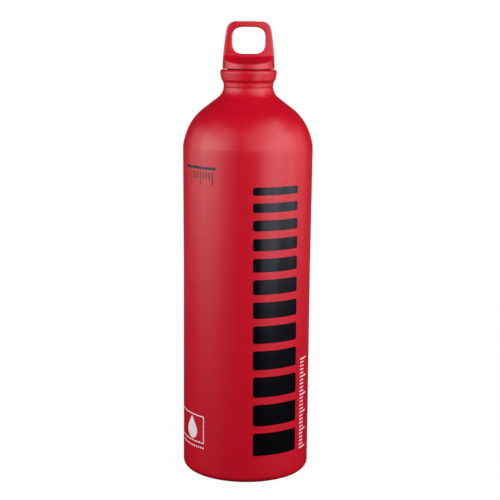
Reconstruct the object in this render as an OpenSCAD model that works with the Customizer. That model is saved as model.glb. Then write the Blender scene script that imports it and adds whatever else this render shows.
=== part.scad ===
// Camping fuel bottle with a push-and-turn safety cap.
// A one-piece aluminium bottle, closed by a threaded plug that carries an O-ring. A loop cap snaps over
// the plug's flange and spins freely on it until it is pressed down against a spring, which brings two
// rings of dogs into mesh. Origin: centre of the base, on the standing ring's plane. +Z is up.

/* [Barrel] */
// Outside diameter of the barrel
body_d = 89; // [84:0.5:100]
// Height at which the barrel ends and the shoulder starts
barrel_h = 227; // [100:0.2:280]
// How much the radius grows towards the shoulder, where the necking presses the wall out
flare = 0.5; // [0:0.1:1]
// Length of the barrel over which it grows
flare_l = 80; // [20:5:90]
// Wall of the barrel
wall = 0.8; // [0.6:0.1:1.2]
// Outside radius of the corner between barrel and base
foot_r = 4.8; // [4:0.2:8]
// Thickness of the base
base_t = 1.5; // [1.2:0.1:2.4]
// Width of the flat ring that the bottle stands on
ring_w = 2.5; // [1.5:0.5:5]
// Height of the dome pressed up into the base
dome_h = 4.5; // [2:0.5:8]

/* [Shoulder and neck] */
// Radius of the rounded shoulder, in section
shoulder_r = 37; // [34:0.5:39]
// Slope of the cone between shoulder and neck, from the vertical
cone_a = 52.6; // [48:0.2:55]
// How much flatter the inside of that cone runs, which thickens the metal towards the neck
thicken_a = 12.5; // [10:0.5:14]
// Radius of the hollow sweep from the cone into the neck, outside
sweep_r = 9.6; // [7:0.1:11]
// Radius of the same sweep on the inside
inner_sweep_r = 6; // [4:0.5:8]
// Outside diameter of the neck at its narrowest
neck_d = 34.2; // [33:0.2:36]

/* [Collar] */
// Height of the collar's top face above the narrowest part of the neck
collar_rise = 11.2; // [10:0.2:14]
// Largest diameter of the collar
collar_d = 39.1; // [38:0.1:42]
// Diameter of the collar at the top of its lower chamfer
collar_low_d = 37.6; // [36.6:0.2:38]
// Height of the narrow part left above the narrowest part of the neck, up to the collar's foot
collar_foot_rise = 2.7; // [1.5:0.1:3.5]
// Height of the collar's lower chamfer
collar_chamfer_h = 2.2; // [1.5:0.1:3]
// Radius of the collar's top edge
collar_edge_r = 1.8; // [0.6:0.1:2]

/* [Plug] */
// Outside diameter of the plug's thread
thread_d = 25; // [23:0.2:26]
// Length of the plug below its seat on the O-ring
plug_l = 14; // [12:0.5:18]
// Wall of the plug's hollow shank
shank_wall = 2.4; // [2:0.1:3]
// Chamfer at the plug's lower end
plug_chamfer = 0.8; // [0.4:0.1:1.4]
// Thickness of the flange that holds the cap
flange_t = 1.2; // [1:0.1:1.6]
// Thickness of the plug's roof, from the top of the flange down to the hollow
roof_t = 2.8; // [2.5:0.1:3.4]

/* [Seal] */
// Section diameter of the O-ring
ring_section = 2.4; // [2:0.1:2.6]
// Depth of the seat in the mouth for the O-ring
seat_depth = 1.9; // [1.4:0.1:2]

/* [Return spring] */
// Wire of the return spring
wire_d = 0.8; // [0.6:0.1:1]
// Outside diameter of the spring
spring_d = 7.8; // [6.5:0.1:8.5]
// Number of turns of the spring
spring_turns = 6; // [4:1:7]
// Depth of the spring's well below the top of the flange
well_depth = 9.8; // [8:0.2:11]
// Wall of the well, at its side and floor
well_wall = 1.3; // [1:0.1:1.6]

/* [Cap] */
// Outside diameter of the cap at its lower edge
cap_d = 35.8; // [35:0.2:37]
// Height of the cap
cap_h = 32.1; // [30:0.1:38]
// Gap left between the collar and the cap's lower edge
skirt_gap = 1; // [1:0.1:2]
// Draft of the cap's side at its lower edge
draft_a = 1.3; // [0.5:0.1:2]
// Radius of the slow curve of the cap's side, in section
bow_r = 177; // [150:1:300]
// Radius of the cap's top corners, seen from the front
top_corner_r = 7; // [5:0.5:9]
// Wall of the skirt round the flange
skirt_wall = 1.8; // [1.5:0.1:2]
// Height of the skirt at the front and back, where the scoops run out
skirt_h = 3.6; // [3.4:0.1:5]
// Height of the scoops where they meet the plate's fillet
scoop_h = 7.2; // [7:0.1:8]
// Radius of the scoops' hollow, in section
scoop_r = 60; // [40:1:120]
// Thickness of the upright plate at its foot
plate_t = 8; // [6.5:0.1:9.5]
// Thickness of the upright plate at its top
plate_top_t = 6.8; // [5:0.1:8]
// Fillet between scoop and plate
plate_fillet_r = 1.5; // [1:0.1:2]
// Rounding of the plate's top edges
plate_edge_r = 1.2; // [0.6:0.1:2]

/* [Finger loop] */
// Width of the opening in the plate
loop_w = 22.6; // [18:0.2:24]
// Height of the opening in the plate
loop_h = 18.3; // [16:0.1:20]
// Thickness of the bar over the opening
loop_bar = 3.6; // [2.6:0.1:5]
// Squareness of the opening: 2 is an ellipse, more is squarer
loop_power = 3.4; // [2.4:0.1:5]

/* [Clutch] */
// How far the cap is pressed down to drive the plug
push_travel = 0.8; // [0.6:0.1:0.8]
// Number of dogs on the plug, and on the cap
dog_count = 12; // [6:1:12]
// Height of the plug's dogs
dog_h = 0.7; // [0.5:0.1:0.8]
// Height of the cap's dogs
cap_dog_h = 1.35; // [1:0.05:1.5]
// Width of a dog at its root
dog_w = 1.2; // [0.8:0.1:1.4]
// Width lost on a dog's sloping flank
dog_slope = 0.3; // [0:0.1:0.5]
// Radius of the ring of dogs, inside
dog_in_r = 6; // [5.6:0.1:6.4]
// Radius of the ring of dogs, outside
dog_out_r = 9; // [8.4:0.1:9.4]
// Height of the snap lip that holds the cap on the flange
lip_h = 0.6; // [0.5:0.1:0.8]
// How far the snap lip reaches in under the flange
lip_hold = 0.5; // [0.3:0.1:0.8]

/* [Clearances] */
// Radial gap between the plug and the mouth
thread_gap = 0.3; // [0.2:0.05:0.5]
// Radial gap between the cap and the plug's flange, and round the O-ring and spring
run_gap = 0.4; // [0.3:0.05:0.5]
// Gap between faces that rest on each other
face_gap = 0.1; // [0.05:0.05:0.2]
// Gap between the two rings of dogs at rest
dog_gap = 0.15; // [0.1:0.05:0.2]

/* [Hidden] */
$fn = 96;

// Steps of an arc that is written out as points, and of the spring's helix
arc_steps = 12;
coil_steps = 20;
wire_sides = 6;
// Overlap that makes joined solids one, and overshoot of a cut
bite = 0.2;
past = 1;

// Radii of the bottle
body_r = body_d / 2;
neck_r = neck_d / 2;
collar_r = collar_d / 2;
collar_low_r = collar_low_d / 2;
thread_r = thread_d / 2;
mouth_r = thread_r + thread_gap;
seal_in_r = thread_r + thread_gap / 2;
seat_r = seal_in_r + ring_section + run_gap;
inner_a = cone_a + thicken_a;

// The shoulder is an arc, then a cone tangent to it, then the neck's hollow sweep. Each tangent point
// lies at the cone's angle round its own arc, so the heights follow from the radii.
shoulder_c = [body_r + flare - shoulder_r, barrel_h];
cone_foot = shoulder_c + shoulder_r * [cos(cone_a), sin(cone_a)];
cone_top_r = neck_r + sweep_r * (1 - cos(cone_a));
cone_top = [cone_top_r, cone_foot.y + (cone_foot.x - cone_top_r) / tan(cone_a)];
neck_c = [neck_r + sweep_r, cone_top.y + sweep_r * sin(cone_a)];
neck_z = neck_c.y;

// The same three forms on the inside, with a flatter cone
inner_shoulder_r = shoulder_r - wall;
inner_foot = shoulder_c + inner_shoulder_r * [cos(inner_a), sin(inner_a)];
inner_top_r = mouth_r + inner_sweep_r * (1 - cos(inner_a));
inner_top = [inner_top_r, inner_foot.y + (inner_foot.x - inner_top_r) / tan(inner_a)];
inner_c = [mouth_r + inner_sweep_r, inner_top.y + inner_sweep_r * sin(inner_a)];

// Collar and mouth
collar_foot_a = asin(collar_foot_rise / sweep_r);
collar_foot_z = neck_z + collar_foot_rise;
collar_top = neck_z + collar_rise;
seat_z = collar_top - seat_depth;

// Base: a corner arc, the flat standing ring and a dome that rises inside it
foot_c = [body_r - foot_r, foot_r];
inner_foot_r = foot_r - wall;
ring_in_r = foot_c.x - ring_w;
dome_r = (ring_in_r * ring_in_r + dome_h * dome_h) / (2 * dome_h);
dome_a = asin(ring_in_r / dome_r);

// Heights of the closure, from the seat upwards
seal_z = seat_z + face_gap / 2;
boss_z = seal_z + ring_section + face_gap / 2;
plug_low = boss_z - plug_l;
cap_z = collar_top + skirt_gap;
flange_z = cap_z + lip_h + face_gap;
flange_top = flange_z + flange_t;
ceiling_z = flange_top + push_travel + face_gap;
dog_top = flange_top + dog_h;
pocket_z = dog_top + dog_gap + cap_dog_h;

// Radii of the closure, from the skirt inwards
cap_r = cap_d / 2;
hollow_r = cap_r - skirt_wall;
flange_r = hollow_r - run_gap;
lip_r = flange_r - lip_hold;
boss_r = lip_r - thread_gap;
shank_in_r = thread_r - shank_wall;
well_r = spring_d / 2 + run_gap;
post_r = well_r + well_wall;
pocket_r = dog_out_r + thread_gap;
well_z = flange_top - well_depth;
hollow_top = flange_top - roof_t;
dog_pitch = 360 / dog_count;

// The cap's side is an arc of bow_r that leans in by the draft angle at the lower edge, and the top
// corner is an arc tangent to it and to the top
bow_c = [cap_r - bow_r * cos(draft_a), -bow_r * sin(draft_a)];
corner_z = cap_h - top_corner_r;
corner_a = asin((corner_z - bow_c.y) / (bow_r - top_corner_r));
corner_x = bow_c.x + (bow_r - top_corner_r) * cos(corner_a);
loop_z = cap_h - loop_bar - loop_h / 2;

// Points of an arc about c from angle a0 to a1
function arc(c, r, a0, a1, steps = arc_steps) =
    [for (i = [0:steps]) let (a = a0 + (a1 - a0) * i / steps) c + r * [cos(a), sin(a)]];

// Centre of the circle of radius r that passes through p and q, on the left of the way from p to q
function circle_through(p, q, r) =
    let (half = norm(q - p) / 2, m = (p + q) / 2, u = (q - p) / norm(q - p))
    m + sqrt(r * r - half * half) * [-u.y, u.x];

// Direction of the point q seen from p, as an angle
function toward(p, q) = atan2(q.y - p.y, q.x - p.x);

// Outside of the bottle from the centre of the base to the inner edge of the mouth's top face
function outside() = concat(
    arc([0, dome_h - dome_r], dome_r, 90, 90 - dome_a),
    arc(foot_c, foot_r, -90, 0),
    [[body_r, barrel_h - flare_l]],
    arc(shoulder_c, shoulder_r, 0, cone_a),
    arc(neck_c, sweep_r, 180 + cone_a, 180 - collar_foot_a),
    [[collar_low_r, collar_foot_z + collar_chamfer_h]],
    arc([collar_r - collar_edge_r, collar_top - collar_edge_r], collar_edge_r, 0, 90, arc_steps / 2)
);

// Inside of the bottle, from the seat for the O-ring down to the centre of the floor
function inside() = concat(
    [[seat_r, collar_top], [seat_r, seat_z], [mouth_r, seat_z]],
    arc(inner_c, inner_sweep_r, 180, 180 + inner_a),
    arc(shoulder_c, inner_shoulder_r, inner_a, 0),
    [[body_r - wall, barrel_h - flare_l]],
    arc([foot_c.x, base_t + inner_foot_r], inner_foot_r, 0, -90),
    arc([0, dome_h + base_t - dome_r], dome_r, 90 - dome_a, 90)
);

// Bottle drawn from one aluminium slug, with its mouth thickened for the thread
module bottle_body() {
    color("#c3132b")
    rotate_extrude() polygon(concat(outside(), inside()));
}

// Nitrile O-ring that lies in the seat of the mouth
module o_ring() {
    color("#1c1c1e")
    translate([0, 0, seal_z + ring_section / 2])
    rotate_extrude() translate([seal_in_r + ring_section / 2, 0]) circle(d = ring_section);
}

// One dog of the clutch, which stands up from z = 0 and points along +X
module dog(height) {
    translate([dog_in_r, 0, 0])
    rotate([90, 0, 90])
    linear_extrude(dog_out_r - dog_in_r)
    polygon([[-dog_w / 2, -bite], [dog_w / 2, -bite], [dog_w / 2, 0],
             [dog_w / 2 - dog_slope, height], [-dog_w / 2, height]]);
}

// Moulded plug: thread, hollow shank, spring well, flange and the lower ring of dogs
module threaded_plug() {
    color("#26262a") {
        rotate_extrude() polygon([
            [well_r, flange_top], [flange_r, flange_top], [flange_r, flange_z], [boss_r, flange_z],
            [boss_r, boss_z], [thread_r, boss_z], [thread_r, plug_low + plug_chamfer],
            [thread_r - plug_chamfer, plug_low], [shank_in_r, plug_low], [shank_in_r, hollow_top],
            [post_r, hollow_top], [post_r, well_z - well_wall], [0, well_z - well_wall],
            [0, well_z], [well_r, well_z]
        ]);
        for (i = [0:dog_count - 1])
            rotate([0, 0, i * dog_pitch]) translate([0, 0, flange_top]) dog(dog_h);
    }
}

// Height of the spring's wire centre after the share t of its turns, closer wound at both ends
spring_z = well_z + face_gap / 2;
spring_l = pocket_z - well_z - face_gap;
end_winding = 0.3;
function wire_z(t) = spring_z + wire_d / 2
    + (spring_l - wire_d) * (t - end_winding * sin(360 * t) / 360 * 180 / PI);

// Compression spring between the floor of the well and the cap
module return_spring() {
    coil_r = (spring_d - wire_d) / 2;
    rings = spring_turns * coil_steps;
    points = [
        for (i = [0:rings]) for (j = [0:wire_sides - 1])
            let (a = 360 * i / coil_steps, b = 360 * j / wire_sides, rr = coil_r + wire_d / 2 * cos(b))
            [rr * cos(a), rr * sin(a), wire_z(i / rings) + wire_d / 2 * sin(b)]
    ];
    function at(i, j) = i * wire_sides + j % wire_sides;
    sides = [
        for (i = [0:rings - 1]) for (j = [0:wire_sides - 1]) each [
            [at(i, j), at(i, j + 1), at(i + 1, j + 1)],
            [at(i, j), at(i + 1, j + 1), at(i + 1, j)]
        ]
    ];
    ends = [
        [for (j = [wire_sides - 1:-1:0]) at(0, j)],
        [for (j = [0:wire_sides - 1]) at(rings, j)]
    ];
    color("#b9bcc2") polyhedron(points, concat(sides, ends));
}

// Half of the cap's front outline, which is turned about the axis
function cap_outline() = concat(
    [[0, 0]],
    arc(bow_c, bow_r, draft_a, corner_a, arc_steps / 2),
    arc([corner_x, corner_z], top_corner_r, corner_a, 90, arc_steps * 2 / 3),
    [[0, cap_h]]
);

// Half of the cap's side outline: skirt, scoop, fillet and upright plate, with y across and z up
function cap_side() =
    let (
        out = cap_r + past,
        foot = plate_t / 2,
        top = plate_top_t / 2,
        fillet_c = [foot + plate_fillet_r, scoop_h + plate_fillet_r],
        rim = [cap_r, skirt_h],
        run = [fillet_c.x, scoop_h],
        bowl_c = circle_through(run, rim, scoop_r)
    )
    concat(
        [[0, 0], [out, 0], [out, skirt_h], rim],
        arc(bowl_c, scoop_r, toward(bowl_c, rim), toward(bowl_c, run), arc_steps / 2),
        arc(fillet_c, plate_fillet_r, 270, 180, arc_steps / 2),
        arc([top - plate_edge_r, cap_h - plate_edge_r], plate_edge_r, 0, 90, arc_steps / 2),
        [[0, cap_h]]
    );

// Rounded opening of the loop, a superellipse
function loop_outline(steps = 48) = [
    for (i = [0:steps - 1])
        let (a = 360 * i / steps, c = cos(a), s = sin(a), p = 2 / loop_power)
        [sign(c) * loop_w / 2 * pow(abs(c), p), sign(s) * loop_h / 2 * pow(abs(s), p)]
];

// Moulded loop cap: turned blank cut to a plate by two scoops, with a finger loop, a hollow skirt with a
// snap lip that rides under the flange, and the upper ring of dogs
module loop_cap() {
    color("#c8102e") {
        difference() {
            translate([0, 0, cap_z])
            intersection() {
                rotate_extrude() polygon(cap_outline());
                rotate([90, 0, 90])
                translate([0, 0, -cap_r - past])
                linear_extrude(2 * (cap_r + past))
                union() {
                    polygon(cap_side());
                    mirror([1, 0]) polygon(cap_side());
                }
            }
            translate([0, 0, cap_z + loop_z])
            rotate([90, 0, 0])
            linear_extrude(plate_t + 4 * past, center = true)
            polygon(loop_outline());

            translate([0, 0, cap_z - past]) cylinder(r = lip_r, h = lip_h + 2 * past);
            translate([0, 0, cap_z + lip_h]) cylinder(r = hollow_r, h = ceiling_z - cap_z - lip_h);
            translate([0, 0, flange_z]) cylinder(r = pocket_r, h = pocket_z - flange_z);
        }
        for (i = [0:dog_count - 1])
            rotate([0, 0, (i + 0.5) * dog_pitch])
            translate([0, 0, pocket_z]) mirror([0, 0, 1]) dog(cap_dog_h);
    }
}

bottle_body();
o_ring();
threaded_plug();
return_spring();
loop_cap();
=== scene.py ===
"""Camping fuel bottle in red powder coat, with its push-and-turn loop cap, on a pale studio floor."""

import math

import bmesh
import bpy
import numpy as np
from mathutils import Matrix, Vector


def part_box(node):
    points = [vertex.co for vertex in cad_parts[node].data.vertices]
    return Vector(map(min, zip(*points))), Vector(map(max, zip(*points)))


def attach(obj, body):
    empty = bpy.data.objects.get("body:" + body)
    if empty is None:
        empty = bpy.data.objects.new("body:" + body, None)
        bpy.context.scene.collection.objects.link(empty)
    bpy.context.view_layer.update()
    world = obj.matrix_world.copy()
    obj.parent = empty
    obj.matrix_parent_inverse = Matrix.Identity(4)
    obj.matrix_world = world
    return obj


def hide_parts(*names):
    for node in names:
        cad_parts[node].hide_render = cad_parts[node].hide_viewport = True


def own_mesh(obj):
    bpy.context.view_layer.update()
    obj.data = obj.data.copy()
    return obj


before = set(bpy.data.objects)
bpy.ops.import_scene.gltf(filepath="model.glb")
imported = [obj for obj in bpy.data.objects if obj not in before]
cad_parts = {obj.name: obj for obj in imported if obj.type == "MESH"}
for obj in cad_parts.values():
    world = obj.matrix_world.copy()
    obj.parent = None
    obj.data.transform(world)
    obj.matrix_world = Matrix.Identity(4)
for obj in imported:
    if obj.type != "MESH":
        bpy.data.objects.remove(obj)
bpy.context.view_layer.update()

# The camera stands a little left of the bottle's axis and looks down by about ten degrees, with a long
# lens. Its place was found from the bottle's own outline, so the values are in millimetres of the object.
mm = 0.001
camera_place = Vector((-4.5, -922.1, 323.1)) * mm
camera_down = math.radians(10.23)
camera_right = math.radians(0.41)
camera_roll = math.radians(0.506)

lens = bpy.data.cameras.new("camera")
lens.sensor_width = 36
lens.lens = 95.79
lens.clip_start = 0.05
lens.clip_end = 20
camera = bpy.data.objects.new("camera", lens)
bpy.context.scene.collection.objects.link(camera)
bpy.context.scene.camera = camera

ahead = Vector((
    math.sin(camera_right) * math.cos(camera_down),
    math.cos(camera_right) * math.cos(camera_down),
    -math.sin(camera_down),
))
level = Vector((math.cos(camera_right), -math.sin(camera_right), 0))
upright = level.cross(ahead)
side = level * math.cos(camera_roll) + upright * math.sin(camera_roll)
up = upright * math.cos(camera_roll) - level * math.sin(camera_roll)
camera.matrix_world = Matrix.Translation(camera_place) @ Matrix((side, up, -ahead)).transposed().to_4x4()


# The studio is a pale floor and white air. The camera sees them white, and so do reflections on the side
# of the backdrop; the rest of the room is a dim grey, as it is behind a photographer.
class Flow:
    """An output of a shader node. Arithmetic on it adds Math nodes to the same tree."""

    def __init__(self, tree, socket=None):
        self.tree = tree
        self.socket = socket

    def add(self, kind, settings=None, sockets=None, out=0):
        """Adds a node: its settings are set first, then each socket gets its value or link."""
        node = self.tree.nodes.new(kind)
        for name, value in (settings or {}).items():
            if name == "stops":
                ramp = node.color_ramp
                while len(ramp.elements) < len(value):
                    ramp.elements.new(0.5)
                for element, (place, colour) in zip(ramp.elements, value):
                    element.position = place
                    element.color = (*colour, 1)
            else:
                setattr(node, name, value)
        for name, value in (sockets or {}).items():
            if isinstance(value, Flow):
                self.tree.links.new(value.socket, node.inputs[name])
            else:
                node.inputs[name].default_value = value
        return Flow(self.tree, node.outputs[out]) if node.outputs else None

    def maths(self, operation, *values):
        return self.add("ShaderNodeMath", {"operation": operation}, dict(enumerate(values)))

    def __add__(self, other):
        return self.maths("ADD", self, other)

    def __sub__(self, other):
        return self.maths("SUBTRACT", self, other)

    def __rsub__(self, other):
        return self.maths("SUBTRACT", other, self)

    def __mul__(self, other):
        return self.maths("MULTIPLY", self, other)

    __radd__ = __add__
    __rmul__ = __mul__

    def over(self, low, high):
        """0 below low, 1 above high, and a smooth rise between."""
        return self.add("ShaderNodeMapRange", {"interpolation_type": "SMOOTHSTEP"},
                        {"Value": self, "From Min": low, "From Max": high})

    def blend(self, first, second):
        """The first colour where self is 0, and the second where it is 1."""
        return self.add("ShaderNodeMix", {"data_type": "RGBA"},
                        {"Factor": self, 6: first, 7: second}, out=2)


def seen(start):
    """1 for rays from the camera, from gloss and through glass."""
    kinds = ("Is Camera Ray", "Is Glossy Ray", "Is Transmission Ray")
    rays = [start.add("ShaderNodeLightPath", out=kind) for kind in kinds]
    return rays[0].maths("MAXIMUM", rays[0], rays[1].maths("MAXIMUM", rays[1], rays[2]))


room_grey = (0.012, 0.012, 0.0125, 1)
white = (1, 1, 1, 1)
world = bpy.data.worlds.new("studio_air")
bpy.context.scene.world = world
world.use_nodes = True
world.node_tree.nodes.clear()
air = Flow(world.node_tree)
heading = air.add("ShaderNodeTexCoord", out="Generated")
behind = air.add("ShaderNodeSeparateXYZ", {}, {0: heading}, out="Y").over(0.90, 0.97)
camera_ray = air.add("ShaderNodeLightPath", out="Is Camera Ray")
backdrop = seen(air) * behind * 0.08
glow = backdrop.maths("MAXIMUM", backdrop, camera_ray).blend(room_grey, white)
sky = air.add("ShaderNodeBackground", {}, {"Color": glow, "Strength": 1.0})
air.add("ShaderNodeOutputWorld", {}, {"Surface": sky})

floor_radius = 2.5
floor_near = 0.98
floor_mesh = bpy.data.meshes.new("studio_floor")
build = bmesh.new()
bmesh.ops.create_circle(build, cap_ends=True, segments=96, radius=floor_radius)
build.to_mesh(floor_mesh)
build.free()
floor = bpy.data.objects.new("studio_floor", floor_mesh)
bpy.context.scene.collection.objects.link(floor)
paper = bpy.data.materials.new("studio_paper")
paper.use_nodes = True
paper.node_tree.nodes.clear()
sheet = Flow(paper.node_tree)
spot = sheet.add("ShaderNodeTexCoord", out="Object")
away = sheet.add("ShaderNodeVectorMath", {"operation": "LENGTH"}, {0: spot}, out="Value").over(0.15, 0.9)
rear = sheet.add("ShaderNodeSeparateXYZ", {}, {0: spot}, out="Y").over(0.1, 0.5)
camera_ray = sheet.add("ShaderNodeLightPath", out="Is Camera Ray")
whiteness = camera_ray.maths("MAXIMUM", camera_ray, seen(sheet) * rear * 0.08) * (away * (1 - floor_near) + floor_near)
# Painted dark reflection: to glossy rays the floor's lit part is near black (0.02), while light bouncing off it onto
# the bottle sees grey (0.15).
gloss = sheet.add("ShaderNodeLightPath", out="Is Glossy Ray")
lit = sheet.add("ShaderNodeBsdfDiffuse", {}, {"Color": gloss.blend((0.15, 0.15, 0.15, 1), (0.02, 0.02, 0.02, 1))})
plain = sheet.add("ShaderNodeEmission", {}, {"Color": white, "Strength": 1.0})
mixed = sheet.add("ShaderNodeMixShader", {}, {0: whiteness, 1: lit, 2: plain})
sheet.add("ShaderNodeOutputMaterial", {}, {"Surface": mixed})
floor_mesh.materials.append(paper)


def softbox(name, azimuth, height, distance, width, tall, watts):
    """A soft light at an azimuth from the front, counted to the right, turned to the bottle's middle."""
    light = bpy.data.lights.new(name, "AREA")
    light.shape = "RECTANGLE"
    light.size = width
    light.size_y = tall
    light.energy = watts
    lamp = bpy.data.objects.new(name, light)
    bpy.context.scene.collection.objects.link(lamp)
    a = math.radians(azimuth)
    lamp.location = (distance * math.sin(a), -distance * math.cos(a), height)
    aim = Vector((0, 0, 0.16)) - lamp.location
    lamp.rotation_euler = aim.to_track_quat("-Z", "Y").to_euler()


near_box = (0.55, 0.30, 0.45)
far_box = (1.0, 0.75, 0.80)
softbox("softbox_front", 10, 0.45, *near_box, 0.47)
softbox("softbox_front_left", -40, 0.45, *near_box, 0.48)
softbox("softbox_low_left", -40, 0.25, *near_box, 0.21)
softbox("softbox_low_right", 40, 0.25, *near_box, 0.97)
softbox("softbox_high_right", 70, 0.65, *near_box, 1.03)
softbox("softbox_top_right", 40, 0.65, *near_box, 0.73)
softbox("panel_right", 70, 0.30, *far_box, 4.05)
softbox("panel_side_right", 100, 0.30, *far_box, 1.58)
softbox("panel_left", -70, 0.30, *far_box, 4.90)
softbox("panel_high_left", -70, 0.75, *far_box, 1.60)
softbox("panel_side_left", -100, 0.30, *far_box, 2.15)
softbox("strip_rear", 180, 0.28, 0.9, 0.15, 0.45, 5.5)


# The bottle is drawn from one slug of aluminium, necked in under a turned collar, and powder-coated red
# outside and under the base. Inside it is bare metal, with a right-hand thread of 3 mm pitch in its mouth.
widest_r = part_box("bottle_body")[1].x
collar_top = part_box("bottle_body")[1].z
flare = 0.5 * mm
flare_l = 80 * mm
body_r = widest_r - flare
barrel_h = 227 * mm
wall = 0.8 * mm
foot_r = 4.8 * mm
base_t = 1.5 * mm
ring_w = 2.5 * mm
dome_h = 4.5 * mm
shoulder_r = 37 * mm
cone_a = 52.6
inner_cone_a = 65.1
bend_r = 43 * mm
bend_rise = 1.2 * mm
bend_a = 4
crease_a = 10
join_a = 33
sweep_r = 9.6 * mm
inner_sweep_r = 6 * mm
neck_r = 17.1 * mm
collar_r = 19.55 * mm
collar_low_r = 18.8 * mm
collar_rise = 11.2 * mm
collar_foot_rise = 2.2 * mm
collar_chamfer_h = 2.7 * mm
rim_r = 2.4 * mm
rim_rise = 0.65 * mm
rim_in_r = 17.95 * mm
mouth_r = 12.8 * mm
seat_r = 15.45 * mm
seat_depth = 1.9 * mm
thread_pitch = 3 * mm
thread_height = 0.75 * mm
turned_groove = 0.2 * mm


def link_mesh(name, verts, faces, *materials):
    """A smooth-shaded mesh object in the scene."""
    mesh = bpy.data.meshes.new(name)
    mesh.from_pydata([tuple(v) for v in verts], [], [tuple(f) for f in faces])
    mesh.validate()
    for material in materials:
        mesh.materials.append(material)
    mesh.shade_smooth()
    piece = bpy.data.objects.new(name, mesh)
    bpy.context.scene.collection.objects.link(piece)
    return piece


def arc(centre, radius, start, end, steps):
    """Points of an arc about centre, with angles in degrees."""
    angles = np.radians(np.linspace(start, end, steps + 1))
    return [(centre[0] + radius * math.cos(a), centre[1] + radius * math.sin(a)) for a in angles]


def straight(start, end, steps):
    """Points along a line, without its two ends."""
    shares = np.linspace(0, 1, steps + 1)[1:-1]
    return [tuple(np.array(start) + share * (np.array(end) - start)) for share in shares]


def easy(start, start_a, end, end_a, steps):
    """Points of an even curve between two points, without the first, that leans inwards from upright by
    start_a degrees at its start and by end_a at its end."""
    start, end = np.array(start), np.array(end)
    reach = np.linalg.norm(end - start)
    pull = [reach * np.array((-math.sin(math.radians(a)), math.cos(math.radians(a)))) for a in (start_a, end_a)]
    t = np.linspace(0, 1, steps + 1)[1:, None]
    curve = ((2 * t ** 3 - 3 * t ** 2 + 1) * start + (t ** 3 - 2 * t ** 2 + t) * pull[0]
             + (3 * t ** 2 - 2 * t ** 3) * end + (t ** 3 - t ** 2) * pull[1])
    return [tuple(p) for p in curve]


def groove(radius, height, depth, width=0.35 * mm):
    """A fine turned groove in a wall at this radius, from below upwards."""
    return [(radius, height - width), (radius - depth, height - width / 3),
            (radius - depth, height + width / 3), (radius, height + width)]


def lathe(profile, segments, shift=None):
    """Vertices and faces of a profile of (radius, height) turned round the axis. A radius of 0 closes it.
    shift(angle, radii, heights) gives other radii at each angle, as a thread needs."""
    radii = np.array([p[0] for p in profile])
    heights = np.array([p[1] for p in profile])
    verts, faces = [], []
    rows = len(profile)
    for j in range(segments):
        a = 2 * math.pi * j / segments
        turned = radii if shift is None else shift(a, radii, heights)
        verts += [(r * math.sin(a), -r * math.cos(a), z) for r, z in zip(turned, heights)]
        n = (j + 1) % segments
        faces += [(j * rows + i, n * rows + i, n * rows + i + 1, j * rows + i + 1) for i in range(rows - 1)]
    return verts, faces


def weld(piece, distance=1e-6):
    """Merges doubled points, such as a lathe's at its poles, and turns all faces outwards."""
    build = bmesh.new()
    build.from_mesh(piece.data)
    bmesh.ops.remove_doubles(build, verts=build.verts, dist=distance)
    bmesh.ops.recalc_face_normals(build, faces=build.faces)
    build.to_mesh(piece.data)
    build.free()
    return piece


def thread(angle, heights, low, high, depth):
    """Depth of a right-hand thread's groove at an angle and at heights, run out at both ends."""
    phase = np.mod(heights / thread_pitch - angle / (2 * math.pi), 1)
    flank = np.clip((np.abs(phase - 0.5) - 0.14) / 0.2, 0, 1)
    ends = np.clip((heights - low) / thread_pitch, 0, 1) * np.clip((high - heights) / thread_pitch, 0, 1)
    return depth * (1 - flank) * np.clip(2 * ends, 0, 1)


def tangent_forms(start_c, start_r, end_r, hollow_r, slope):
    """Feet of the cone between a shoulder arc and a neck's hollow arc, and the hollow arc's centre."""
    a = math.radians(slope)
    foot = (start_c[0] + start_r * math.cos(a), start_c[1] + start_r * math.sin(a))
    top_r = end_r + hollow_r * (1 - math.cos(a))
    top_z = foot[1] + (foot[0] - top_r) / math.tan(a)
    return foot, (top_r, top_z), (end_r + hollow_r, top_z + hollow_r * math.sin(a))


shoulder_c = (widest_r - shoulder_r, barrel_h)
cone_foot, cone_top, neck_c = tangent_forms(shoulder_c, shoulder_r, neck_r, sweep_r, cone_a)
inner_foot, inner_top, inner_c = tangent_forms(shoulder_c, shoulder_r - wall, mouth_r, inner_sweep_r, inner_cone_a)
neck_z = neck_c[1]
collar_foot_a = math.degrees(math.asin(collar_foot_rise / sweep_r))
collar_foot = arc(neck_c, sweep_r, 180 - collar_foot_a, 180 - collar_foot_a, 1)[0]
seat_z = collar_top - seat_depth
rim_z = collar_top + rim_rise - rim_r
foot_c = (body_r - foot_r, foot_r)
ring_in_r = foot_c[0] - ring_w
dome_r = (ring_in_r ** 2 + dome_h ** 2) / (2 * dome_h)
dome_a = math.degrees(math.asin(ring_in_r / dome_r))
ring_round = 0.5 * mm
bend = [(widest_r, barrel_h)] + arc((widest_r - bend_r, barrel_h + bend_rise), bend_r, 0, bend_a, 6)
join = arc(shoulder_c, shoulder_r, join_a, join_a, 1)[0]

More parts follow.
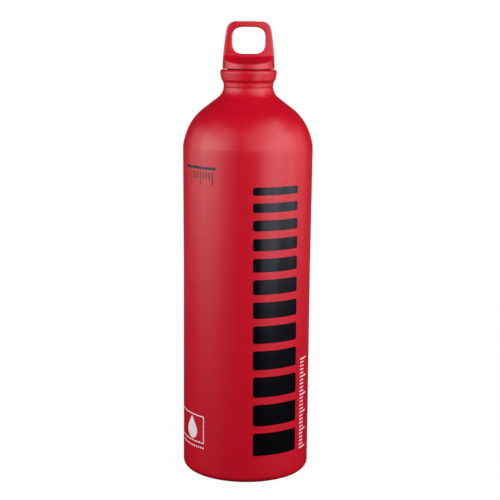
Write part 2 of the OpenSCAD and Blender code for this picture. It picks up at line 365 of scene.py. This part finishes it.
outside = (
    arc((0, dome_h - dome_r), dome_r, 90, 90 - dome_a + 0.5, 40)
    + [(ring_in_r - ring_round, 0.14 * mm), (ring_in_r, 0.02 * mm), (ring_in_r + ring_round, 0)]
    + straight((ring_in_r + ring_round, 0), (foot_c[0], 0), 4)
    + arc(foot_c, foot_r, -90, 0, 16)
    + straight((body_r, foot_r), (body_r, barrel_h - flare_l), 40)
    + straight((body_r, barrel_h - flare_l), (widest_r, barrel_h), 24)
    + bend
    + easy(bend[-1], crease_a, join, join_a, 24)
    + arc(shoulder_c, shoulder_r, join_a + 1, cone_a, 16)
    + straight(cone_foot, cone_top, 14)
    + arc(neck_c, sweep_r, 180 + cone_a, 181, 26)
    + groove(neck_r + 0.02 * mm, neck_z - 0.2 * mm, turned_groove)
    + arc(neck_c, sweep_r, 180 - 2, 180 - collar_foot_a, 5)
    + [(collar_foot[0] - turned_groove, collar_foot[1] + 0.25 * mm), (collar_foot[0] + 0.1 * mm, collar_foot[1] + 0.5 * mm)]
    + [(collar_low_r - 0.3 * mm, collar_foot[1] + collar_chamfer_h - 0.2 * mm)]
    + arc((collar_low_r - 0.55 * mm, collar_foot[1] + collar_chamfer_h + 0.2 * mm), 0.6 * mm, -25, 5, 4)
    + straight((collar_low_r, collar_foot[1] + collar_chamfer_h), (collar_r, rim_z), 8)
    + arc((collar_r - rim_r, rim_z), rim_r, 0, 66, 12)
    + [(rim_in_r + 0.12 * mm, collar_top + rim_rise - 0.2 * mm), (rim_in_r, collar_top + 0.08 * mm)]
    + [(rim_in_r - 0.1 * mm, collar_top)]
)
mouth_end = inner_c[1]
inside = (
    [(seat_r + 0.3 * mm, collar_top), (seat_r, collar_top - 0.3 * mm)]
    + [(seat_r, seat_z + 0.1 * mm), (seat_r - 0.1 * mm, seat_z), (mouth_r + 0.3 * mm, seat_z)]
    + [(mouth_r, seat_z - 0.3 * mm)]
    + straight((mouth_r, seat_z - 0.3 * mm), (mouth_r, mouth_end), 90)
    + arc(inner_c, inner_sweep_r, 180, 180 + inner_cone_a, 16)
    + arc(shoulder_c, shoulder_r - wall, inner_cone_a, 0, 30)
    + straight((widest_r - wall, barrel_h), (body_r - wall, barrel_h - flare_l), 16)
    + straight((body_r - wall, barrel_h - flare_l), (body_r - wall, base_t + foot_r), 30)
    + arc((foot_c[0], base_t + foot_r - wall), foot_r - wall, 0, -90, 8)
    + arc((0, dome_h + base_t - dome_r), dome_r, 90 - dome_a, 90, 20)
)


def mouth_thread(angle, radii, heights):
    """The mouth's wall with the ridge of its thread standing in from it."""
    bore = (np.abs(radii - mouth_r) < 1e-7) & (heights > mouth_end) & (heights < seat_z)
    ridge = thread_height - thread(angle, heights, mouth_end, seat_z, thread_height)
    ends = np.clip((heights - mouth_end) / thread_pitch, 0, 1) * np.clip((seat_z - heights) / (0.5 * thread_pitch), 0, 1)
    return np.where(bore, radii - ridge * np.clip(2 * ends, 0, 1), radii)


def principled(start, **values):
    """A Principled shader whose sockets are named with underscores, straight into the material's output."""
    sockets = {name.replace("_", " "): value for name, value in values.items()}
    shader = start.add("ShaderNodeBsdfPrincipled", {}, sockets)
    start.add("ShaderNodeOutputMaterial", {}, {"Surface": shader})
    return shader


def material(name):
    """An empty node material and the start of its tree."""
    made = bpy.data.materials.new(name)
    made.use_nodes = True
    made.node_tree.nodes.clear()
    return made, Flow(made.node_tree)


def noise(start, place, scale, detail=2.0):
    return start.add("ShaderNodeTexNoise", {}, {"Vector": place, "Scale": scale, "Detail": detail}, out=0)


powder_coat, coat = material("powder_coat")
place = coat.add("ShaderNodeTexCoord", out="Object")
height = coat.add("ShaderNodeSeparateXYZ", {}, {0: place}, out="Z")
grain = noise(coat, place, 2200)
peel = noise(coat, place, 600)
cloud = noise(coat, place, 22)
rings = coat.add("ShaderNodeTexNoise", {"noise_dimensions": "1D"}, {"W": height, "Scale": 700, "Detail": 1.0})
turned = height.over(neck_z - 2 * mm, neck_z)
relief = grain * 0.25 + peel * 0.5 + turned * rings * 1.6
shade = (cloud * 0.25 + peel * 0.45 + grain * 0.3).over(0.34, 0.66)
red = shade.blend((0.572, 0.0010, 0.0146, 1), (0.638, 0.0018, 0.0182, 1))
principled(
    coat,
    Base_Color=red,
    Roughness=peel * 0.06 + 0.31,
    Specular_IOR_Level=0.52,
    Normal=coat.add("ShaderNodeBump", {}, {"Strength": 0.5, "Distance": 0.06 * mm, "Height": relief}),
)

bare_metal, metal = material("bare_aluminium")
streak = noise(metal, metal.add("ShaderNodeTexCoord", out="Object"), 260)
principled(metal, Base_Color=(0.80, 0.80, 0.81, 1), Metallic=1.0, Roughness=streak * 0.15 + 0.32)

segments = 192
verts, faces = lathe(outside + inside, segments, mouth_thread)
bottle = link_mesh("bottle_body_shell", verts, faces, powder_coat, bare_metal)
rows = len(outside) + len(inside) - 1
for face in bottle.data.polygons:
    face.material_index = int(face.index % rows >= len(outside) + 4)
weld(bottle)
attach(bottle, "bottle")
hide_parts("bottle_body")


# The prints are screen ink laid on the coat and cured, a few hundredths of a millimetre thick. Black
# graduated bars climb the front, with a white scale beside them, a fill line high up and a framed drop.
ink_proud = 0.04 * mm
ink_step = 1.2 * mm


def ink(name, colour, roughness):
    made, start = material(name)
    place = start.add("ShaderNodeTexCoord", out="Object")
    speck = noise(start, place, 900)
    principled(
        start,
        Base_Color=speck.blend(colour, tuple(c * 1.25 for c in colour[:3]) + (1,)),
        Roughness=speck * 0.03 + roughness,
        Specular_IOR_Level=0.42,
        Specular_Tint=(0.78, 0.79, 1.0, 1),
        Normal=start.add("ShaderNodeBump", {}, {"Strength": 0.05, "Distance": 0.04 * mm, "Height": speck}),
    )
    return made


black_ink = ink("black_ink", (0.0005, 0.0005, 0.0010, 1), 0.23)
white_ink = ink("white_ink", (0.80, 0.79, 0.80, 1), 0.40)


def block(left, right, low, high, radius):
    """Outline of a rectangle with round corners: left and right along the barrel, low and high up it."""
    corners = ((right - radius, low + radius, -90), (right - radius, high - radius, 0),
               (left + radius, high - radius, 90), (left + radius, low + radius, 180))
    return [p for x, z, start in corners for p in arc((x, z), radius, start, start + 90, 6)]


def barrel_radius(z):
    """The barrel's outside radius at a height, with its slight flare under the shoulder."""
    return body_r + flare * min(max((z - barrel_h + flare_l) / flare_l, 0), 1)


def printed(name, outlines, colour):
    """Ink films of the given flat outlines, wrapped round the barrel from the front, each a thin solid."""
    build = bmesh.new()
    for outline in outlines:
        build.faces.new([build.verts.new((x, 0, z)) for x, z in outline])
    reach = [v.co.x for v in build.verts]
    cuts = [((k * ink_step, 0, 0), (1, 0, 0))
            for k in range(math.ceil(min(reach) / ink_step), math.floor(max(reach) / ink_step) + 1)]
    for place, normal in cuts + [((0, 0, barrel_h - flare_l), (0, 0, 1))]:
        bmesh.ops.bisect_plane(build, geom=build.verts[:] + build.edges[:] + build.faces[:], dist=1e-7,
                               plane_co=place, plane_no=normal)
    grown = bmesh.ops.extrude_face_region(build, geom=build.faces[:])
    for v in grown["geom"]:
        if isinstance(v, bmesh.types.BMVert):
            v.co.y = 1
    for v in build.verts:
        radius = barrel_radius(v.co.z) + (ink_proud if v.co.y == 0 else -ink_proud)
        turn = v.co.x / body_r
        v.co = (radius * math.sin(turn), -radius * math.cos(turn), v.co.z)
    bmesh.ops.recalc_face_normals(build, faces=build.faces)
    mesh = bpy.data.meshes.new(name)
    build.to_mesh(mesh)
    build.free()
    mesh.materials.append(colour)
    piece = bpy.data.objects.new(name, mesh)
    bpy.context.scene.collection.objects.link(piece)
    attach(piece, "bottle")
    return piece


def along(degrees):
    """Distance round the barrel from the front."""
    return math.radians(degrees) * body_r


bar_left = along(5.3)
bar_right = along(50)
bar_low = 20 * mm
bar_gap = 5.2 * mm
bar_count = 12
bar_first = 16.2 * mm
bar_last = 5.4 * mm
bar_round = 1.6 * mm
bar_lean = 1.5 * mm
bars = []
foot = bar_low
for i in range(bar_count):
    tall = bar_first + (bar_last - bar_first) * i / (bar_count - 1)
    shift = bar_lean * (0.5 - i / (bar_count - 1))
    bars.append(block(bar_left + shift, bar_right + shift, foot, foot + tall, bar_round))
    foot += tall + bar_gap
printed("graduated_bars_print", bars, black_ink)

scale_left = along(57.5)
scale_right = along(69.5)
scale_low = 19.5 * mm
scale_high = 84 * mm
tick_count = 26
tick_w = 0.9 * mm
ticks = []
for i in range(tick_count):
    z = scale_low + (scale_high - scale_low) * i / (tick_count - 1)
    share = 1 if i % 5 == 0 else 0.55
    ticks.append(block(scale_left, scale_left + (scale_right - scale_left) * share, z - tick_w / 2, z + tick_w / 2, 0.3 * mm))
printed("scale_print", ticks, white_ink)

line_left = along(-66)
line_right = along(-28.6)
line_top = 219.3 * mm
line_w = 1.9 * mm
mark_count = 9
marks = [block(line_left, line_right, line_top - line_w, line_top, 0.3 * mm)]
for i in range(mark_count):
    x = along(-58 + 26 * i / (mark_count - 1))
    drop = 8.5 * mm if i % 4 == 0 else 5 * mm
    marks.append(block(x - 0.4 * mm, x + 0.4 * mm, line_top - 3.4 * mm - drop, line_top - 3.4 * mm, 0.25 * mm))
printed("fill_line_print", marks, black_ink)

frame_right = along(-40.9)
frame_left = frame_right - 33 * mm
frame_low = 25 * mm
frame_high = 44.8 * mm
frame_w = 0.7 * mm
frame_bars = [
    block(frame_left, frame_right, frame_low, frame_low + frame_w, 0.3 * mm),
    block(frame_left, frame_right, frame_high - frame_w, frame_high, 0.3 * mm),
    block(frame_left, frame_left + frame_w, frame_low + frame_w, frame_high - frame_w, 0.3 * mm),
    block(frame_right - frame_w, frame_right, frame_low + frame_w, frame_high - frame_w, 0.3 * mm),
]
drop_c = ((frame_left + frame_right) / 2 + 3.5 * mm, (frame_low + frame_high) / 2 - 2.2 * mm)
drop_r = 6 * mm
drop_tip = 10.6 * mm
lean = math.degrees(math.acos(drop_r / drop_tip))
droplet = arc(drop_c, drop_r, 90 + lean, 450 - lean, 40) + [(drop_c[0], drop_c[1] + drop_tip)]
dots = [block(frame_right - 1.5 * mm - 2.2 * mm * i, frame_right - 0.3 * mm - 2.2 * mm * i, 21.2 * mm, 22.4 * mm, 0.4 * mm)
        for i in range(13)]
printed("drop_mark_print", frame_bars + [droplet] + dots, white_ink)


# The O-ring is a ready-made nitrile cord ring. It lies in the seat of the mouth, under the plug's boss.
rubber, start = material("nitrile_rubber")
dust = noise(start, start.add("ShaderNodeTexCoord", out="Object"), 700)
principled(start, Base_Color=dust.blend((0.010, 0.010, 0.011, 1), (0.022, 0.022, 0.024, 1)), Roughness=dust * 0.2 + 0.42)
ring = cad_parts["o_ring"]
ring.data.materials.clear()
ring.data.materials.append(rubber)


# The plug is moulded in dark glass-filled plastic: a hollow shank with the thread and a vent slot, a flange
# that holds the cap, a well for the spring and the lower ring of sloped dogs.
plug_low, plug_top = (corner.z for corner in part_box("threaded_plug"))
thread_r = 12.5 * mm
shank_in_r = 10.1 * mm
flange_r = 15.7 * mm
flange_t = 1.2 * mm
roof_t = 2.8 * mm
boss_r = 14.9 * mm
well_r = 4.3 * mm
post_r = 5.6 * mm
well_depth = 9.8 * mm
well_floor = 1.3 * mm
dog_h = 0.7 * mm
dog_w = 1.2 * mm
dog_slope = 0.3 * mm
dog_in_r = 6 * mm
dog_out_r = 9 * mm
dog_count = 12
flange_top = plug_top - dog_h
flange_low = flange_top - flange_t
boss_low = plug_low + 14 * mm
vent_w = 3.2 * mm
well_z = flange_top - well_depth
edge = 0.15 * mm

plug_profile = (
    [(0, well_z), (well_r - edge, well_z), (well_r, well_z + edge), (well_r, flange_top - edge), (well_r + edge, flange_top)]
    + [(flange_r - edge, flange_top), (flange_r, flange_top - edge), (flange_r, flange_low + edge), (flange_r - edge, flange_low)]
    + [(boss_r, flange_low), (boss_r, boss_low + edge), (boss_r - edge, boss_low), (thread_r, boss_low)]
    + straight((thread_r, boss_low), (thread_r, plug_low + 0.8 * mm), 110)
    + [(thread_r, plug_low + 0.8 * mm), (thread_r - 0.8 * mm, plug_low), (shank_in_r + edge, plug_low), (shank_in_r, plug_low + edge)]
    + [(shank_in_r, flange_top - roof_t), (post_r, flange_top - roof_t), (post_r, well_z - well_floor), (0, well_z - well_floor)]
)


def plug_thread(angle, radii, heights):
    """The shank with the groove of its thread, flattened in two places to vent the bottle as it opens."""
    shank = (np.abs(radii - thread_r) < 1e-7) & (heights < boss_low)
    high = boss_low - 2.7 * mm
    cut = np.where(heights < high, thread(angle, heights, plug_low, high, thread_height + 0.35 * mm), 0)
    turn = np.mod(angle + math.pi / 2, math.pi) - math.pi / 2
    vented = np.abs(turn) * thread_r < vent_w / 2
    cut = np.where(vented & (heights < high), thread_height, cut)
    return np.where(shank, radii - cut, radii)


def dogs(base, height, offset):
    """Verts and faces of a ring of sloped dogs that stand on base by height, which is negative downwards."""
    verts, faces = [], []
    root = base - math.copysign(0.15 * mm, height)
    for i in range(dog_count):
        turn = Matrix.Rotation(2 * math.pi * (i + offset) / dog_count, 3, "Z")
        section = [(-dog_w / 2, root), (dog_w / 2, root), (dog_w / 2, base), (dog_w / 2 - dog_slope, base + height),
                   (-dog_w / 2, base + height)]
        n = len(verts)
        for r in (dog_in_r, dog_out_r):
            verts += [turn @ Vector((r, y, z)) for y, z in section]
        faces += [(n + 4, n + 3, n + 2, n + 1, n), (n + 5, n + 6, n + 7, n + 8, n + 9)]
        faces += [(n + k, n + (k + 1) % 5, n + 5 + (k + 1) % 5, n + 5 + k) for k in range(5)]
    return verts, faces


plug_plastic, start = material("plug_plastic")
swirl = noise(start, start.add("ShaderNodeTexCoord", out="Object"), 500)
principled(
    start,
    Base_Color=swirl.blend((0.016, 0.016, 0.018, 1), (0.028, 0.028, 0.031, 1)),
    Roughness=swirl * 0.12 + 0.40,
    Normal=start.add("ShaderNodeBump", {}, {"Strength": 0.1, "Distance": 0.05 * mm, "Height": swirl}),
)


def join(main, verts, faces):
    """Adds a second closed shell to a piece's mesh."""
    build = bmesh.new()
    build.from_mesh(main.data)
    new = [build.verts.new(v) for v in verts]
    for f in faces:
        build.faces.new([new[k] for k in f])
    bmesh.ops.recalc_face_normals(build, faces=build.faces)
    build.to_mesh(main.data)
    build.free()


verts, faces = lathe(plug_profile, 160, plug_thread)
plug = weld(link_mesh("threaded_plug_moulding", verts, faces, plug_plastic))
join(plug, *dogs(flange_top, dog_h, 0))
plug.data.set_sharp_from_angle(angle=math.radians(35))
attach(plug, "plug")
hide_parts("threaded_plug")


# The return spring is wound from 0.8 mm stainless wire, closer at both ends. It stands in the plug's well
# and holds the cap up; the real spring shortens when the cap is pressed down, but it is drawn here at one length only.
spring_low, spring_high = (corner.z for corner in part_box("return_spring"))
wire_r = 0.4 * mm
coil_r = 3.5 * mm
coil_turns = 6
coil_steps = 48
wire_sides = 12
end_winding = 0.3
push_travel = 0.8 * mm
spring_length = spring_high - spring_low

verts, faces = [], []
count = coil_turns * coil_steps
for i in range(count + 1):
    share = i / count
    z = spring_low + wire_r + (spring_length - 2 * wire_r) * (share - end_winding * math.sin(2 * math.pi * share) / (2 * math.pi))
    a = 2 * math.pi * i / coil_steps
    for j in range(wire_sides):
        b = 2 * math.pi * j / wire_sides
        r = coil_r + wire_r * math.cos(b)
        verts.append((r * math.cos(a), r * math.sin(a), z + wire_r * math.sin(b)))
for i in range(count):
    for j in range(wire_sides):
        k = (j + 1) % wire_sides
        faces.append((i * wire_sides + j, i * wire_sides + k, (i + 1) * wire_sides + k, (i + 1) * wire_sides + j))
faces.append(tuple(range(wire_sides - 1, -1, -1)))
faces.append(tuple(count * wire_sides + j for j in range(wire_sides)))
spring_steel, start = material("spring_steel")
drawn = noise(start, start.add("ShaderNodeTexCoord", out="Object"), 800)
principled(start, Base_Color=(0.62, 0.61, 0.60, 1), Metallic=1.0, Roughness=drawn * 0.15 + 0.22)
spring = weld(link_mesh("return_spring_wire", verts, faces, spring_steel))
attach(spring, "spring")
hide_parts("return_spring")
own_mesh(spring)


# The loop cap is moulded in red plastic: a tapering blank hollowed front and back into a finger loop, with
# every edge rounded. Its hollow skirt snaps over the plug's flange and carries the upper ring of dogs.
cap_low, cap_top = (corner.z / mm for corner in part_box("loop_cap"))
cap_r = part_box("loop_cap")[1].x / mm
cap_h = cap_top - cap_low
bow_r = 177
draft = math.radians(1.3)
top_corner_r = 7
skirt_h = 3.6
scoop_h = 7.2
scoop_r = 60
plate_t = 8
plate_top_t = 6.8
fillet = 1.5
crown = 1.3
loop_w = 22.6
loop_h = 17.9
loop_bar = 4.0
loop_power = 3.4
bow_c = (cap_r - bow_r * math.cos(draft), -bow_r * math.sin(draft))
corner_z = cap_h - top_corner_r
corner_x = bow_c[0] + math.sqrt((bow_r - top_corner_r) ** 2 - (corner_z - bow_c[1]) ** 2)
loop_z = cap_h - loop_bar - loop_h / 2


def both(a, b, blend):
    """Signed distance to what two solids share, with the edge between them rounded."""
    near = np.maximum(blend - np.abs(a - b), 0) / max(blend, 1e-9)
    return np.maximum(a, b) + near * near * blend / 4


def either(a, b, blend):
    """Signed distance to two solids joined, with a fillet between them."""
    return -both(-a, -b, blend)


def scoop_centre():
    """Centre of the scoop's hollow arc through its inner end and the skirt's rim, above the cap."""
    p = np.array((plate_t / 2 + fillet, scoop_h))
    q = np.array((cap_r, skirt_h))
    half = np.linalg.norm(q - p) / 2
    ahead = (q - p) / (2 * half)
    return (p + q) / 2 + math.sqrt(scoop_r ** 2 - half ** 2) * np.array((-ahead[1], ahead[0]))


scoop_c = scoop_centre()


def cap_field(p):
    """Signed distance to the cap's outside, in millimetres from the centre of its lower edge."""
    x, y, z = p[..., 0], p[..., 1], p[..., 2]
    r = np.hypot(x, y)
    bow = np.hypot(r - bow_c[0], z - bow_c[1]) - bow_r
    corner = np.hypot(r - corner_x, z - corner_z) - top_corner_r
    turn = np.arctan2(z - corner_z, r - corner_x)
    at_corner = (turn > math.asin((corner_z - bow_c[1]) / (bow_r - top_corner_r))) & (r > corner_x)
    blank = np.where(at_corner, corner, np.maximum(bow, z - cap_h))
    plate = np.abs(y) - plate_t / 2 + (plate_t - plate_top_t) / 2 * (z - scoop_h) / (cap_h - scoop_h)
    plate = plate + crown * (x / cap_r) ** 2
    skirt = scoop_r - np.hypot(np.abs(y) - scoop_c[0], z - scoop_c[1])
    cut = both(blank, either(plate, skirt, 2.0), 1.1)
    u = np.abs(x) / (loop_w / 2)
    w = np.abs(z - loop_z) / (loop_h / 2)
    size = np.maximum(u ** loop_power + w ** loop_power, 1e-9) ** (1 / loop_power)
    slope = np.hypot((u / size) ** (loop_power - 1) / (loop_w / 2), (w / size) ** (loop_power - 1) / (loop_h / 2))
    loop = (size - 1) / np.maximum(slope, 1e-6)
    return both(both(cut, -loop, 1.3), -z, 0.25)


def skin(field, low, high, step):
    """Closed quad mesh of the surface where the field is 0: one point in each cell that the surface
    crosses, moved onto the surface, and one quad round each grid edge that it cuts."""
    axes = [np.arange(a, b + step, step) for a, b in zip(low, high)]
    inside = field(np.stack(np.meshgrid(*axes, indexing="ij"), -1)) < 0
    filled = sum(inside[i:i - 1 or None, j:j - 1 or None, k:k - 1 or None].astype(int)
                 for i in (0, 1) for j in (0, 1) for k in (0, 1))
    crossed = (filled > 0) & (filled < 8)
    number = np.full(crossed.shape, -1)
    number[crossed] = np.arange(crossed.sum())
    points = np.array(low) + (np.argwhere(crossed) + 0.5) * step
    tiny = step / 50
    for _ in range(6):
        value = field(points)
        slope = np.stack([(field(points + tiny * axis) - field(points - tiny * axis)) / (2 * tiny)
                          for axis in np.eye(3)], -1)
        move = slope * (value / np.maximum((slope ** 2).sum(-1), 0.05))[:, None]
        points = points - np.clip(move, -step, step)
    quads = []
    for k in range(3):
        a, b = (k + 1) % 3, (k + 2) % 3
        here = np.moveaxis(inside, (k, a, b), (0, 1, 2))
        cells = np.moveaxis(number, (k, a, b), (0, 1, 2))
        cut = np.argwhere(here[:-1, 1:-1, 1:-1] != here[1:, 1:-1, 1:-1])
        i, u, w = cut[:, 0], cut[:, 1], cut[:, 2]
        quad = np.stack([cells[i, u, w], cells[i, u + 1, w], cells[i, u + 1, w + 1], cells[i, u, w + 1]], -1)
        outward = here[i, u + 1, w + 1]
        quads.append(np.where(outward[:, None], quad, quad[:, ::-1]))
    return points, np.concatenate(quads)


cap_plastic, start = material("cap_plastic")
place = start.add("ShaderNodeTexCoord", out="Object")
height = start.add("ShaderNodeSeparateXYZ", {}, {0: place}, out="Z")
fine = noise(start, place, 1500)
swirl = noise(start, place, 60)
lines = start.add("ShaderNodeTexNoise", {"noise_dimensions": "1D"}, {"W": height, "Scale": 1100, "Detail": 1.0})
principled(
    start,
    Base_Color=swirl.over(0.3, 0.7).blend((0.575, 0.0014, 0.0165, 1), (0.610, 0.0020, 0.0190, 1)),
    Roughness=fine * 0.06 + 0.30,
    Specular_IOR_Level=0.6,
    Normal=start.add("ShaderNodeBump", {}, {"Strength": 0.4, "Distance": 0.05 * mm,
                                            "Height": fine * 0.2 + lines * 0.8}),
)

margin = 1.2
points, quads = skin(cap_field, (-cap_r - margin, -cap_r - margin, -margin), (cap_r + margin, cap_r + margin, cap_h + margin), 0.35)
cap = link_mesh("loop_cap_moulding", (points + (0, 0, cap_low)) * mm, quads, cap_plastic)

skirt_wall = 1.8 * mm
lip_h = 0.6 * mm
lip_hold = 0.5 * mm
cap_dog_h = 1.35 * mm
skirt_low = cap_low * mm
hollow_r = cap_r * mm - skirt_wall
lip_r = flange_r - lip_hold
pocket_r = dog_out_r + 0.3 * mm
ceiling_z = flange_top + push_travel + 0.1 * mm
pocket_z = plug_top + 0.15 * mm + cap_dog_h
hollow_profile = [
    (0, skirt_low - 1 * mm), (lip_r + 0.3 * mm, skirt_low - 1 * mm), (lip_r + 0.3 * mm, skirt_low), (lip_r, skirt_low + 0.3 * mm),
    (lip_r, skirt_low + lip_h), (hollow_r, skirt_low + lip_h), (hollow_r, ceiling_z - edge), (hollow_r - edge, ceiling_z),
    (pocket_r, ceiling_z), (pocket_r, pocket_z), (0, pocket_z),
]
verts, faces = lathe(hollow_profile, 128)
hollow = weld(link_mesh("hollow_tool", verts, faces))
cut = cap.modifiers.new("hollow", "BOOLEAN")
cut.operation = "DIFFERENCE"
cut.solver = "EXACT"
cut.object = hollow
bpy.context.view_layer.update()
hollowed = bpy.data.meshes.new_from_object(cap.evaluated_get(bpy.context.evaluated_depsgraph_get()))
cap.modifiers.clear()
cap.data = hollowed
bpy.data.objects.remove(hollow)
join(cap, *dogs(pocket_z, -cap_dog_h, 0.5))
cap.data.shade_smooth()
cap.data.set_sharp_from_angle(angle=math.radians(40))
cap.data.materials.clear()
cap.data.materials.append(cap_plastic)
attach(cap, "cap")
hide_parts("loop_cap")

bpy.context.scene.view_settings.view_transform = "Standard"
